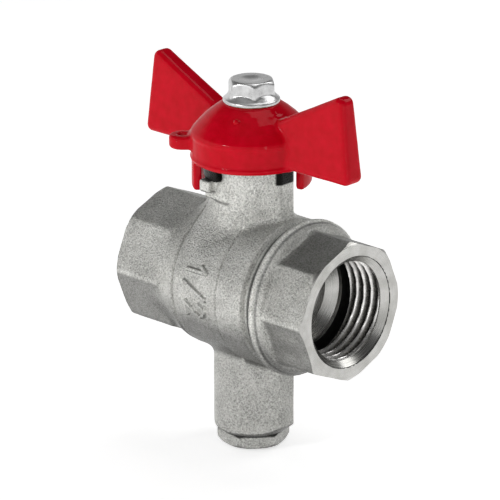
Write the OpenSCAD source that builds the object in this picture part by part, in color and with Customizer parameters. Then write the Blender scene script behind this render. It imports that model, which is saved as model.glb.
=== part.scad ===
// Three port ball valve, one half inch, with a butterfly handle on a quarter turn stem.
// The origin is the centre of the ball. +X runs along the pipe to the screwed end cap,
// +Z runs up the stem, and the third port faces -Z.

/* [Pipe ends] */
// Width across the flats of both octagonal pipe ends
wrench_af = 25; // [22:0.5:31]
// Distance from the ball centre to the face of the body's own pipe end
left_reach = 23.2; // [22:0.1:30]
// Distance from the ball centre to the face of the end cap
right_reach = 25; // [24:0.1:32]
// Length of each octagon along the pipe
wrench_len = 9.4; // [7.5:0.1:10]
// Major diameter of the parallel pipe thread in both ends
port_major_d = 20.955; // [17:0.005:21.5]
// Pitch of the pipe thread
port_pitch = 1.814; // [1:0.001:1.9]
// Number of thread turns in each end
port_turns = 4; // [3:1:4]

/* [Barrel] */
// Outside diameter of the body around the ball
barrel_d = 28.4; // [28:0.1:36]
// Diameter of the end cap's flange
flange_d = 29.6; // [29:0.1:37]
// Thickness of the end cap's flange
flange_t = 2.6; // [2:0.1:4]

/* [Ball] */
// Diameter of the ball
ball_d = 23; // [21:0.1:23.2]
// Diameter of the waterway through the seats and the end cap
bore_d = 15; // [12:0.1:15.4]
// Diameter of the waterway through the ball
ball_bore_d = 14.4; // [11:0.1:14.6]
// Diameter of the hole in the ball that leads to the third port
branch_hole_d = 5.6; // [4:0.1:6.8]

/* [Neck and stem] */
// Diameter of the neck round the stem
neck_d = 14.9; // [13:0.1:16]
// Height of the top of the neck
neck_top = 29.4; // [27:0.1:34]
// Diameter of the stem
stem_d = 8; // [6.6:0.1:8.4]
// Width across the two flats on top of the stem
stem_af = 5.6; // [4.6:0.1:6.4]

/* [Third port] */
// Diameter of the third branch
branch_d = 14.7; // [13:0.1:17]
// Distance from the ball centre down to the face of the third branch
branch_reach = 28.8; // [24:0.1:36]
// Diameter of the plug's thread
plug_thread_d = 10; // [8:0.1:11]
// Width across the flats of the plug
plug_af = 12; // [10:0.1:14]
// Height of the plug's hexagon
plug_hex_h = 2.4; // [2:0.1:5]

/* [Handle] */
// Outside diameter of the handle's hub
hub_d = 22.3; // [22:0.1:26]
// Height of the lower edge of the hub's skirt
skirt_z = 24.05; // [22:0.05:25]
// Height of the top of the hub, under the screw
hub_top = 35; // [34:0.1:42]
// Length over both wings
wing_span = 51.6; // [42:0.1:62]
// Height of the highest corner of the wings
wing_top = 40.4; // [38:0.1:50]
// Thickness of the wings
wing_t = 4.2; // [3:0.1:5]
// Height of the lowest point of the longer stop leg
leg_z = 18.6; // [17:0.1:20]

/* [Screw] */
// Width across the flats of the screw's head
screw_af = 8; // [7:0.1:9]
// Height of the whole head with its flange
screw_head_h = 4.4; // [3.5:0.1:6]
// Diameter of the screw's flange
screw_flange_d = 10.6; // [10:0.1:11.6]
// Diameter of the screw's thread
screw_d = 5; // [4:0.1:5.2]

/* [Hidden] */
$fn = 96;

oct_r = wrench_af / 2 / cos(22.5);
port_minor_r = port_major_d / 2 - 0.6403 * port_pitch;
// the body is tapped nearer the middle of the thread's tolerance than the end cap
left_minor_r = port_minor_r + 0.18;
port_mouth_r = port_major_d / 2 + 0.15;
port_mouth_l = port_mouth_r - port_minor_r;
port_thread_l = port_mouth_l + (port_turns + 0.2) * port_pitch;
relief_l = 1.9;
relief_r = port_major_d / 2 + 0.35;
barrel_r = barrel_d / 2;
ball_r = ball_d / 2;
seat_back = ball_r - 1.2;
seat_front = ball_r - 4.4;
seat_r = ball_r - 1.3;
cavity_r = ball_r + 0.7;
cap_thread_r = cavity_r + 0.4;
cap_tail = ball_r - 5.5;
joint_x = right_reach - wrench_len - flange_t;
seal_t = 0.4;
fit = 0.05;
low_belt_r = barrel_r - 0.4;
groove_x = -ball_r + 3.8;
step_x = ball_r - 7.4;
belt_end = joint_x - 2.5;
neck_r = neck_d / 2;
fin_out = [1.65, 1.15];
fin_w = 3.3;
pocket_top = ball_r + 2.6;
collar_z = ball_r + 0.5;
collar_r = stem_d / 2 + 1.4;
washer_t = 0.9;
slot_w = 3.2;
tang_w = stem_d;
slot_floor = ball_bore_d / 2 + 1.4;
cup_r = hub_d / 2 - 1.6;
web_z = neck_top + 1;
shoulder_z = skirt_z + 5.7;
stem_top = hub_top - 0.4;
leg_a = [190.6, 240.8];
leg_b = [leg_a[0] - 180, leg_a[1] - 180];
leg_b_z = leg_z + 0.9;
stop_gap = 0.06;
stop_w = 2.6;
stop_x = cup_r * cos(leg_a[1]) + stop_gap;
rear_stop_x = cup_r * cos(leg_a[0] - 90) + stop_gap;
stop_y = cup_r - 0.2;
stop_z = [leg_z + 0.2, leg_z + 2.6];
boss_y = neck_r + 0.2;
boss_z = barrel_r + 3;
lug_at = 224;
lug_r = hub_d / 2 + 1.6;
lug_z = skirt_z + 2.25;
lug_t = 2.5;
oring_z = [pocket_top + 2.6, pocket_top + 5.4];
plug_r = plug_thread_d / 2;
plug_top = branch_reach - 8;
screw_hex_turn = 21.5;
plug_hex_turn = -10.5;

// Turns a shape drawn about Z so that its axis runs along +X.
module along_x() {
    rotate([0, 90, 0]) children();
}

// Ring between two radii, from z0 to z1.
module ring(r_in, r_out, z0, z1) {
    translate([0, 0, z0]) difference() {
        cylinder(r = r_out, h = z1 - z0);
        translate([0, 0, -1]) cylinder(r = r_in, h = z1 - z0 + 2);
    }
}

// Round bar from z0 to z1.
module bar(r, z0, z1) {
    translate([0, 0, z0]) cylinder(r = r, h = z1 - z0);
}

// Rubber ring of round section.
module o_ring(r_mid, section_r, z) {
    translate([0, 0, z]) rotate_extrude() translate([r_mid, 0]) circle(r = section_r, $fn = 24);
}

// Points of a slightly bowed line from a to b, standing out by rise in the middle.
function bowed(a, b, rise) = [for (k = [0 : 8]) let (t = k / 8, along = b - a)
    a + along * t + [along[1], -along[0]] / norm(along) * 4 * rise * t * (1 - t)];

// Hexagonal head with its corners turned off at the end away from z0.
module hex_head(af, z0, h, turned_d, chamfer) {
    intersection() {
        translate([0, 0, z0]) cylinder(d = af / cos(30), h = h, $fn = 6);
        translate([0, 0, z0]) rotate_extrude() polygon([[0, 0], [turned_d / 2 + 1, 0],
            [turned_d / 2 + 1, h - chamfer], [turned_d / 2 - chamfer, h], [0, h]]);
    }
}

// Octagonal pipe end with turned corners, from its face at z = 0 back to z = -len.
module octagon_end(len) {
    corner = oct_r - wrench_af / 2;
    intersection() {
        translate([0, 0, -len]) cylinder(r = oct_r, h = len, $fn = 8);
        rotate_extrude() polygon([[0, -len - 1], [oct_r + 1, -len - 1], [oct_r + 1, -1],
            [oct_r, -corner * 0.6], [oct_r - corner * 0.75, 0], [0, 0]]);
    }
}

// Hollow of a threaded pipe end: mouth chamfer, thread turns and run-out groove, cut down from z = 0.
module port_hollow(minor_r) {
    first = port_mouth_l + 0.1 * port_pitch;
    root = port_pitch * 0.12;
    flat = port_pitch * 0.05;
    translate([0, 0, -port_thread_l - relief_l]) cylinder(r = minor_r, h = port_thread_l + relief_l + 1);
    rotate_extrude() polygon([[0, 1], [port_mouth_r + 1, 1], [port_mouth_r, 0],
        [minor_r, minor_r - port_mouth_r], [0, minor_r - port_mouth_r]]);
    for (turn_no = [0 : port_turns - 1])
        translate([0, 0, -first - turn_no * port_pitch]) rotate_extrude() polygon([
            [minor_r - 0.5, -flat], [minor_r, -flat], [port_major_d / 2, -port_pitch / 2 + root],
            [port_major_d / 2, -port_pitch / 2 - root], [minor_r, flat - port_pitch],
            [minor_r - 0.5, flat - port_pitch]]);
    bar(relief_r, -port_thread_l - relief_l, -port_thread_l);
}

// Forged outside of the body: pipe end, barrel, neck with its stops, and the third branch.
module body_outside() {
    mirror([1, 0, 0]) translate([left_reach, 0, 0]) along_x() octagon_end(left_reach - ball_r);
    along_x() barrel();
    neck();
    branch();
}

// Third branch, with its lower rim chamfered.
module branch() {
    chamfer = 0.7;
    r = branch_d / 2;
    wide = 4;
    intersection() {
        finned_bar(r, -branch_reach, 0);
        rotate_extrude() polygon([[0, 1], [r + wide, 1], [r + wide, -branch_reach + (wide + chamfer) * 0.8],
            [r - chamfer, -branch_reach], [0, -branch_reach]]);
    }
}

// Barrel round the ball: a cone up from the octagon, then a lower and a higher belt.
module barrel() {
    start = -left_reach + wrench_len;
    foot_r = wrench_af / 2 - 0.3;
    rotate_extrude() difference() {
        polygon([[0, start], [foot_r, start], [foot_r + 0.8, start + 3.2], [low_belt_r - 0.2, start + 5.2],
            [low_belt_r, groove_x], [low_belt_r, step_x], [barrel_r, step_x + 0.4], [barrel_r, belt_end],
            [low_belt_r, belt_end + 0.4], [low_belt_r, joint_x - seal_t], [0, joint_x - seal_t]]);
        translate([low_belt_r, groove_x]) rotate(45) square(0.6, center = true);
    }
}

// Fin that leaves a round bar of radius r nearly along its tangents and ends in a flat at x = out.
module fin(r, out) {
    corner = [out, fin_w / 2];
    touch = atan(fin_w / 2 / out) + acos(r / norm(corner)) - 9;
    on_bar = r * [cos(touch), sin(touch)];
    root = on_bar + (on_bar - corner) * 0.1;
    polygon([[0, 0], [root[0], -root[1]], [corner[0], -corner[1]], corner, root]);
}

// Round bar with a fin on each side along X, where the two halves of the forging die meet.
module finned_bar(r, z0, z1) {
    translate([0, 0, z0]) linear_extrude(z1 - z0) {
        circle(r = r);
        fin(r, r + fin_out[0]);
        mirror([1, 0]) fin(r, r + fin_out[1]);
    }
}

// One stop of the handle, from the stem out to stop_y along +Y.
module stop_peg() {
    translate([0, 0, stop_z[0]]) cube([stop_w, stop_y, stop_z[1] - stop_z[0]]);
}

// Neck with its conical foot, the flat boss and the two stops of the handle.
module neck() {
    foot_r = neck_r + 1.95;
    foot_z = barrel_r + 2.4;
    foot_at = [-1.4, -0.6, 0];
    boss_x = [stop_x - 0.2, -0.2, 1.15];
    translate(foot_at) rotate_extrude() polygon([[0, 0], [foot_r, 0], [foot_r, barrel_r - 4.2],
        [neck_r - norm(foot_at), foot_z], [0, foot_z]]);
    finned_bar(neck_r, 0, neck_top - 1);
    bar(neck_r, neck_top - 1, neck_top);
    translate([boss_x[0], -boss_y, boss_z]) cube([boss_x[2] - boss_x[0], boss_y, stop_z[1] - boss_z]);
    translate([boss_x[1], -boss_y, boss_z]) cube([boss_x[2] - boss_x[1], boss_y, neck_top - 5 - boss_z]);
    translate([stop_x, 0, 0]) mirror([0, 1, 0]) stop_peg();
    translate([rear_stop_x, 0, 0]) stop_peg();
}

module body() {
    color("silver") difference() {
        body_outside();
        mirror([1, 0, 0]) translate([left_reach, 0, 0]) along_x() port_hollow(left_minor_r);
        along_x() body_waterway();
        bar(stem_d / 2 + fit, 0, neck_top + 1);
        bar(collar_r + 0.2, 0, pocket_top);
        translate([0, 0, -branch_reach - 1]) cylinder(r = plug_r, h = 9.5);
        translate([0, 0, -branch_reach - 1]) cylinder(d = branch_hole_d, h = branch_reach);
    }
}

// Waterway inside the body, from the seat behind the pipe thread to the open right end.
module body_waterway() {
    bar(bore_d / 2, -left_reach + 1, 0);
    bar(seat_r + fit, -seat_back, 0);
    bar(cavity_r, -seat_front - 0.8, joint_x);
    bar(cap_thread_r, cap_tail - 1, joint_x);
}

module end_cap() {
    color("silver") difference() {
        union() {
            translate([right_reach, 0, 0]) along_x() octagon_end(wrench_len + 1);
            along_x() flange();
            along_x() bar(cap_thread_r - fit, cap_tail, joint_x + 1);
        }
        translate([right_reach, 0, 0]) along_x() port_hollow(port_minor_r);
        along_x() bar(bore_d / 2, 0, right_reach);
        along_x() cap_throat();
        along_x() bar(seat_r + fit, cap_tail - 1, seat_back);
        along_x() bar(cap_thread_r - 1.7, cap_tail - 1, seat_front + 0.8);
    }
}

// Round flange of the end cap, rounded over towards the octagon.
module flange() {
    r = flange_d / 2;
    front = joint_x + flange_t;
    rotate_extrude() polygon(concat([[0, joint_x], [r - 0.2, joint_x], [r, joint_x + 0.2]],
        bowed([r, joint_x + 0.9], [r - 1.7, front], 0.35), [[0, front]]));
}

// Cone that leads from the thread's run-out down to the waterway.
module cap_throat() {
    top = right_reach - port_thread_l - relief_l;
    drop = port_minor_r - bore_d / 2;
    rotate_extrude() polygon([[0, top + 0.5], [port_minor_r, top + 0.5], [port_minor_r, top - 0.8],
        [bore_d / 2, top - 0.8 - drop], [0, top - 0.8 - drop]]);
}

module cap_seal() {
    color("dimgray") along_x() ring(cap_thread_r, barrel_r - 0.9, joint_x - seal_t, joint_x);
}

module ball() {
    color("gainsboro") difference() {
        sphere(r = ball_r, $fn = 128);
        along_x() cylinder(d = ball_bore_d, h = ball_d, center = true);
        translate([-slot_w / 2, -ball_r, slot_floor]) cube([slot_w, ball_d, ball_r]);
        bar(branch_hole_d / 2, -ball_d, 0);
    }
}

// Sealing ring behind the ball, on the +X side; the left one is its mirror image.
module seat() {
    color("white") difference() {
        along_x() ring(bore_d / 2, seat_r, seat_front, seat_back);
        sphere(r = ball_r + fit, $fn = 128);
    }
}

module seat_left() {
    mirror([1, 0, 0]) seat();
}

module seat_right() {
    seat();
}

// Double D section of the stem's top.
module double_d(r, af, z0, z1) {
    translate([0, 0, z0]) linear_extrude(z1 - z0) intersection() {
        circle(r = r);
        square([af, 4 * r], center = true);
    }
}

module stem() {
    color("gold") difference() {
        union() {
            bar(collar_r, collar_z, collar_z + 1.2);
            bar(stem_d / 2, collar_z, web_z);
            double_d(stem_d / 2, stem_af, web_z, stem_top);
            intersection() {
                bar(tang_w / 2, slot_floor + 0.3, collar_z + 0.5);
                translate([-slot_w / 2 + fit, -tang_w, 0]) cube([slot_w - 2 * fit, 2 * tang_w, 2 * ball_r]);
            }
        }
        for (z = oring_z) ring(stem_d / 2 - 1.1, stem_d, z - 0.75, z + 0.75);
        bar(screw_d / 2, stem_top - 9, stem_top + 1);
    }
}

module thrust_washer() {
    color("white") ring(stem_d / 2 + fit, collar_r, pocket_top - washer_t, pocket_top);
}

module stem_oring(z) {
    section_r = 0.55;
    color("black") o_ring(stem_d / 2 + 0.02 - section_r, section_r, z);
}

module stem_oring_lower() {
    stem_oring(oring_z[0]);
}

module stem_oring_upper() {
    stem_oring(oring_z[1]);
}

// Wedge of a circle between two angles, as a flat outline.
module wedge(a0, a1, r) {
    polygon([[0, 0], for (k = [0 : 4]) r * [cos(a0 + (a1 - a0) * k / 4), sin(a0 + (a1 - a0) * k / 4)]]);
}

// Hub of the handle: a bowed cone over the neck, with a vertical skirt.
module hub() {
    rotate_extrude() difference() {
        polygon(concat([[0, skirt_z], [hub_d / 2, skirt_z]],
            bowed([hub_d / 2, shoulder_z], [screw_flange_d / 2, hub_top], 0.35), [[0, hub_top]]));
        square([cup_r, web_z]);
    }
}

// Leg that hangs from the skirt down to z0 and meets a stop on the neck, with its outer corner rounded.
module leg(span, z0) {
    r = hub_d / 2;
    intersection() {
        rotate_extrude() polygon([[cup_r, skirt_z], [cup_r, z0], [r - 0.8, z0], [r - 0.3, z0 + 0.3],
            [r, z0 + 0.9], [r, skirt_z]]);
        translate([0, 0, z0 - 1]) linear_extrude(skirt_z + 3 - z0) wedge(span[0], span[1], 2 * hub_d);
    }
}

// Outline of one wing, seen from the front.
module wing_outline(inset) {
    corner = [1.3, 2.1];
    half = wing_span / 2;
    low = skirt_z + 0.4;
    root_top = hub_top - 1.7;
    hull() {
        translate([half - corner[0], low + corner[0]]) circle(r = corner[0] - inset, $fn = 32);
        translate([half - 1.7 - corner[1], wing_top - corner[1]]) circle(r = corner[1] - inset, $fn = 32);
        translate([cup_r + 0.3, low + inset]) square([1, root_top - low - 2 * inset]);
    }
}

// One wing with rounded rims.
module wing() {
    rotate([90, 0, 0]) hull() {
        linear_extrude(wing_t - 2.4, center = true) wing_outline(0);
        linear_extrude(wing_t, center = true) wing_outline(1.2);
    }
}

// Ear for a sealing wire, level with the skirt.
module seal_lug() {
    rotate([0, 0, lug_at]) translate([0, 0, lug_z]) {
        translate([cup_r + 0.3, -2.5, 0]) cube([lug_r - cup_r - 0.3, 5, lug_t]);
        translate([lug_r, 0, 0]) cylinder(r = 2.5, h = lug_t);
    }
}

module handle() {
    color("red") difference() {
        union() {
            hub();
            leg(leg_a, leg_z);
            leg(leg_b, leg_b_z);
            wing();
            mirror([1, 0, 0]) wing();
            seal_lug();
        }
        double_d(stem_d / 2 + fit, stem_af + 2 * fit, web_z - 1, hub_top + 1);
        rotate([0, 0, lug_at]) translate([lug_r, 0, lug_z - 1]) cylinder(d = 2, h = lug_t + 2);
    }
}

module handle_screw() {
    flange_h = 1.8;
    flange_r = screw_flange_d / 2;
    color("lightgray") difference() {
        union() {
            translate([0, 0, hub_top]) rotate_extrude() polygon([[0, 0], [flange_r - 0.3, 0], [flange_r, 0.3],
                [flange_r, 0.7], [flange_r - 0.35, 1], [screw_af / 2, flange_h], [0, flange_h]]);
            rotate([0, 0, screw_hex_turn])
                hex_head(screw_af, hub_top + 0.5, screw_head_h - 0.5, screw_af + 0.9, 0.6);
            bar(screw_d / 2 - 0.02, stem_top - 8, hub_top + 1);
        }
        translate([0, 0, hub_top + screw_head_h + 2.2]) sphere(r = 2.6);
    }
}

module plug() {
    hex_z = -branch_reach - seal_t;
    color("silver") union() {
        mirror([0, 0, 1]) rotate([0, 0, plug_hex_turn])
            hex_head(plug_af, -hex_z, plug_hex_h, plug_af + 1.5, 0.6);
        difference() {
            bar(plug_r - fit, hex_z - 0.5, -plug_top);
            bar(branch_hole_d / 2, -plug_top - 4, -plug_top + 1);
        }
    }
}

module plug_seal() {
    color("dimgray") ring(plug_r, plug_af / 2 + 0.2, -branch_reach - seal_t, -branch_reach);
}

body();
end_cap();
cap_seal();
ball();
seat_left();
seat_right();
stem();
thrust_washer();
stem_oring_lower();
stem_oring_upper();
handle();
handle_screw();
plug();
plug_seal();
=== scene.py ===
"""Three port ball valve: looks of the nickel plated body, the enamelled handle and the screws."""
import math

import bmesh
import bpy
import numpy as np
from mathutils import Matrix, Vector

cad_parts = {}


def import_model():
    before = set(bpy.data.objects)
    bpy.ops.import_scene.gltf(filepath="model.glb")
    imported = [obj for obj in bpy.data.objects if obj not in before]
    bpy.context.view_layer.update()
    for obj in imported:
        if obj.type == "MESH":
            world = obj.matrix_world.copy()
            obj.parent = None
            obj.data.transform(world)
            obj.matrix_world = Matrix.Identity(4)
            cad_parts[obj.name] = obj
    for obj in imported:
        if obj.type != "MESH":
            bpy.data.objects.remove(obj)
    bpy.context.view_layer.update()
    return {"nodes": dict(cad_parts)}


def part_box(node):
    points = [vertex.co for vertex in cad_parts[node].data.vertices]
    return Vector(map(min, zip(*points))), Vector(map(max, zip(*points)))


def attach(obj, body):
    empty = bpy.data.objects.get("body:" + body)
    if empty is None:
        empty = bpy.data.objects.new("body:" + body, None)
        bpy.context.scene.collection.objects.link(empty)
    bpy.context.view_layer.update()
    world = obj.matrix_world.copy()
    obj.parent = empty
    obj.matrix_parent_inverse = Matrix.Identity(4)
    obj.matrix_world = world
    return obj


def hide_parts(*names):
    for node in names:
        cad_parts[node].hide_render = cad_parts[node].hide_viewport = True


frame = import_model()
NODES = frame["nodes"]

MM = 0.001


def corner_mm(node, end):
    """Lowest (0) or highest (1) corner of a CAD node, in millimetres."""
    return [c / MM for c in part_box(node)[end]]


LEFT_X = corner_mm("body", 0)[0]
RIGHT_X = corner_mm("end_cap", 1)[0]
JOINT_X = corner_mm("cap_seal", 1)[0]
SEAL_X = corner_mm("cap_seal", 0)[0]
BRANCH_Z = corner_mm("plug_seal", 1)[2]
HEX_Z = corner_mm("plug_seal", 0)[2]
PLUG_Z = corner_mm("plug", 0)[2]
NECK_TOP = corner_mm("body", 1)[2]
LEG_Z = corner_mm("handle", 0)[2]
WING_TOP = corner_mm("handle", 1)[2]
WING_X = corner_mm("handle", 1)[0]
SCREW_TOP = corner_mm("handle_screw", 1)[2]
BALL_R = corner_mm("ball", 1)[1]

# pipe ends: half the width across flats, thread, run-out groove and bore
FLAT_R = 12.5
OCT_R = FLAT_R / math.cos(math.radians(22.5))
PITCH = 1.814
MAJOR_R = 20.955 / 2
MINOR_R = MAJOR_R - 0.6403 * PITCH
LEFT_MINOR_R = MINOR_R + 0.18
MOUTH_R = MAJOR_R + 0.15
MOUTH_L = MOUTH_R - MINOR_R
THREAD_L = MOUTH_L + 4.2 * PITCH
RELIEF_L = 1.9
RELIEF_R = MAJOR_R + 0.35
RELIEF_END = THREAD_L + RELIEF_L
BORE_R = 7.5

# body: neck, branch and their fins, the barrel's steps, the stops and a collar under the handle that is
# painted black as painted shade
NECK_R = 7.45
BRANCH_R = 7.35
FIN_HALF = 1.65
FIN_OUT = ((1, 1.65), (-1, 1.15))
LOW_BELT = 13.8
HIGH_BELT = 14.2
GROOVE_X = -BALL_R + 3.8
STEP_X = BALL_R - 7.4
BELT_END = JOINT_X - 2.5
OCTAGON_END = LEFT_X + 9.4
SHOULDER = ((-3, 11.2), (0, 12.2), (3.2, 13.0), (5.2, 13.6))
GROOVES = ((GROOVE_X, 0.55, 0.28), (STEP_X - 0.35, 0.4, 0.27), (BELT_END + 0.35, 0.5, 0.27))
BOSS = ((-4.85, -7.65, 17.2), (1.15, 0, 21.2))
COLUMN = ((-0.2, -7.65, 17.2), (1.15, 0, 24.4))
FRONT_PEG = ((-4.6, -9.35, 18.8), (-2.0, 0, 21.2))
REAR_PEG = ((-1.7, 0, 18.8), (0.9, 9.35, 21.2))
# radius, middle height, half height and end along X of the collar painted black as painted shade
PAINTED_SHADE_COLLAR_R, PAINTED_SHADE_COLLAR_Z, PAINTED_SHADE_COLLAR_HALF, PAINTED_SHADE_COLLAR_X = 8.9, 22.55, 1.35, -0.5
SEAM_X = JOINT_X - 0.9
MARK_TOP, MARK_LEFT, MARK_HIGH, MARK_STEP = 6.4, -3.9, 4.5, 3.8
# hidden hollows: where the ball's room and the seats' pockets end along X, then radii about the stem
CAVITY_END, SEAT_END = 7.9, 10.3
SEAT_POCKET_R = BALL_R - 1.25
STEM_BORE_R, GLAND_R, BRANCH_BORE_R = 4.05, 5.6, 5.0

# end cap: (distance from the joint, radius) over the flange
FLANGE = ((0, 14.5), (0.2, 14.85), (0.8, 14.85), (1.1, 14.45), (1.5, 14.3), (2.25, 13.8), (2.6, 13.1))
FLANGE_L = 2.6

# handle: hub, dome, wings, ear, legs and the small moulding dot on the dome
HUB_R = 11.15
CUP_R = 9.55
SKIRT_Z = 24.05
SHOULDER_Z = 29.75
HUB_TOP = 35.0
DOME_TOP_R = 5.3
DOME_BOW = 1.4
WEB_Z = NECK_TOP + 1
WING_LOW = SKIRT_Z + 0.4
WING_ROOT = HUB_TOP - 1.7
WING_HALF, WING_TAPER, WING_EDGE = 2.1, 0.5, 1.15
EAR_ANGLE = math.radians(224)
EAR_R = HUB_R + 1.6
EAR_END_R, EAR_HOLE_R, EAR_EDGE = 2.5, 1.0, 0.6
EAR_Z, EAR_HALF = SKIRT_Z + 3.5, 1.25
LEGS = ((190.6, 240.8, LEG_Z), (10.6, 60.8, LEG_Z + 0.9))
STEM_HOLE_R, STEM_HOLE_HALF = 4.05, 2.85
DOT, DOT_R = (3.16, -7.27, 33.3), 0.45

# handle screw: (height, radius) over the flange, and the hexagon with its dished top
SCREW_FLANGE = ((0, 5.0), (0.25, 5.27), (0.5, 5.3), (0.75, 5.22), (1.0, 4.9), (1.8, 4.15), (2.2, 3.0))
SCREW_HEX_R, SCREW_HEX_TURN, SCREW_CORNER_R = 4.0, 21.5, 4.45
SCREW_SHANK_R, SCREW_TIP_Z = 2.48, 26.9
DISH_UP, DISH_R = 5.9, 6.15

# plug of the third branch
PLUG_HEX_R, PLUG_HEX_TURN, PLUG_CORNER_R = 6.0, -10.5, 6.75
PLUG_SHANK_R, PLUG_HOLLOW_R = 4.95, 2.8
PLUG_TOP, PLUG_FLOOR = -20.8, -24.8


# ---------------------------------------------------------------- distance fields
def smin(a, b, k):
    """Union of two distances with a fillet of about k."""
    h = np.maximum(k - np.abs(a - b), 0) / k
    return np.minimum(a, b) - h * h * k * 0.25


def smax(a, b, k):
    """Intersection of two distances with an edge rounded over about k."""
    return -smin(-a, -b, k)


def rounded(a, b, r):
    """Intersection of two distances with its edge rounded to the radius r."""
    a, b = a + r, b + r
    return np.sqrt(np.maximum(a, 0) ** 2 + np.maximum(b, 0) ** 2) + np.minimum(np.maximum(a, b), 0) - r


def smooth(t):
    """Soft step from 0 to 1."""
    t = np.clip(t, 0, 1)
    return t * t * (3 - 2 * t)


def box_field(x, y, z, lo, hi, r):
    """Box with its edges rounded to r."""
    q = []
    for v, a, b in ((x, lo[0], hi[0]), (y, lo[1], hi[1]), (z, lo[2], hi[2])):
        q.append(np.abs(v - (a + b) / 2) - (b - a) / 2 + r)
    out = np.sqrt(np.maximum(q[0], 0) ** 2 + np.maximum(q[1], 0) ** 2 + np.maximum(q[2], 0) ** 2)
    return out + np.minimum(np.maximum(np.maximum(q[0], q[1]), q[2]), 0) - r


def octagon_field(y, z, k):
    """Endless octagonal bar along X with corners rounded over about k."""
    d = None
    for i in range(4):
        a = math.radians(22.5 + 45 * i)
        side = np.abs(y * math.cos(a) + z * math.sin(a)) - FLAT_R
        d = side if d is None else smax(d, side, k)
    return d


def hexagon_field(x, y, flat_r, turn, k):
    """Endless hexagonal bar along Z, turned by an angle in degrees."""
    d = None
    for i in range(3):
        a = math.radians(turn + 30 + 60 * i)
        side = np.abs(x * math.cos(a) + y * math.sin(a)) - flat_r
        d = side if d is None else smax(d, side, k)
    return d


def waves(x, y, z, scale, seed):
    """Gentle uneven surface, about -1 to 1."""
    rng = np.random.default_rng(seed)
    total = 0.0
    for _ in range(7):
        v = rng.normal(size=3)
        v *= 2 * math.pi / (scale * rng.uniform(0.6, 1.6)) / np.linalg.norm(v)
        total = total + np.sin(x * v[0] + y * v[1] + z * v[2] + rng.uniform(0, 2 * math.pi))
    return total / 3.5


def finned_bar(x, y, r):
    """Round bar along Z that runs out into a flat topped fin on each side, where the die parted."""
    d = np.sqrt(x * x + y * y) - r
    for side, out in FIN_OUT:
        cx, cy = r + out, FIN_HALF
        touch = math.atan2(cy, cx) + math.acos(r / math.hypot(cx, cy))
        nx, ny = math.cos(touch), math.sin(touch)
        wedge = smax(x * side * nx + np.abs(y) * ny - r, x * side - cx, 0.35)
        wedge = smax(wedge, np.abs(y) - r * ny, 0.2)
        wedge = smax(wedge, -x * side, 0.2)
        d = smin(d, wedge, 0.25)
    return d


# Strokes of the raised size mark, as polylines in a box 1 wide and 1.7 high.
STROKES = {
    "1": [[(0.2, 1.3), (0.55, 1.7), (0.55, 0.0)]],
    "/": [[(0.05, -0.15), (0.95, 1.85)]],
    "2": [[(0.05, 1.3), (0.2, 1.6), (0.5, 1.7), (0.8, 1.58), (0.95, 1.28), (0.85, 0.95), (0.05, 0.0),
           (0.98, 0.0)]],
}


def stroke_distance(u, v, text, height, step):
    """Distance to the middle of the strokes of a short text, lower left corner at u = v = 0."""
    s = height / 1.7
    best = np.full(np.broadcast(u, v).shape, 99.0)
    at = 0.0
    for c in text:
        for line in STROKES[c]:
            for (ax, ay), (bx, by) in zip(line, line[1:]):
                start_u, start_v, end_u, end_v = at + ax * s, ay * s, at + bx * s, by * s
                du, dv = end_u - start_u, end_v - start_v
                t = np.clip(((u - start_u) * du + (v - start_v) * dv) / (du * du + dv * dv), 0, 1)
                best = np.minimum(best, np.hypot(u - start_u - t * du, v - start_v - t * dv))
        at += step
    return best


def raised(distance, half_width, height):
    """Height of a raised stroke with sloping sides."""
    return height * smooth((half_width + 0.16 - distance) / 0.32)


def barrel_profile(x):
    """Outer radius of the body's barrel along X."""
    flat_from = GROOVE_X - 0.2
    r = np.interp(x, [OCTAGON_END + at for at, _ in SHOULDER] + [flat_from],
                  [r for _, r in SHOULDER] + [LOW_BELT])
    up = smooth((x - STEP_X + 0.25) / 0.5) - smooth((x - BELT_END + 0.25) / 0.5)
    r = np.where(x > flat_from, LOW_BELT, r) + (HIGH_BELT - LOW_BELT) * up
    for at, deep, wide in GROOVES:
        r = r - deep * np.exp(-((x - at) / wide) ** 2)
    return r


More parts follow.
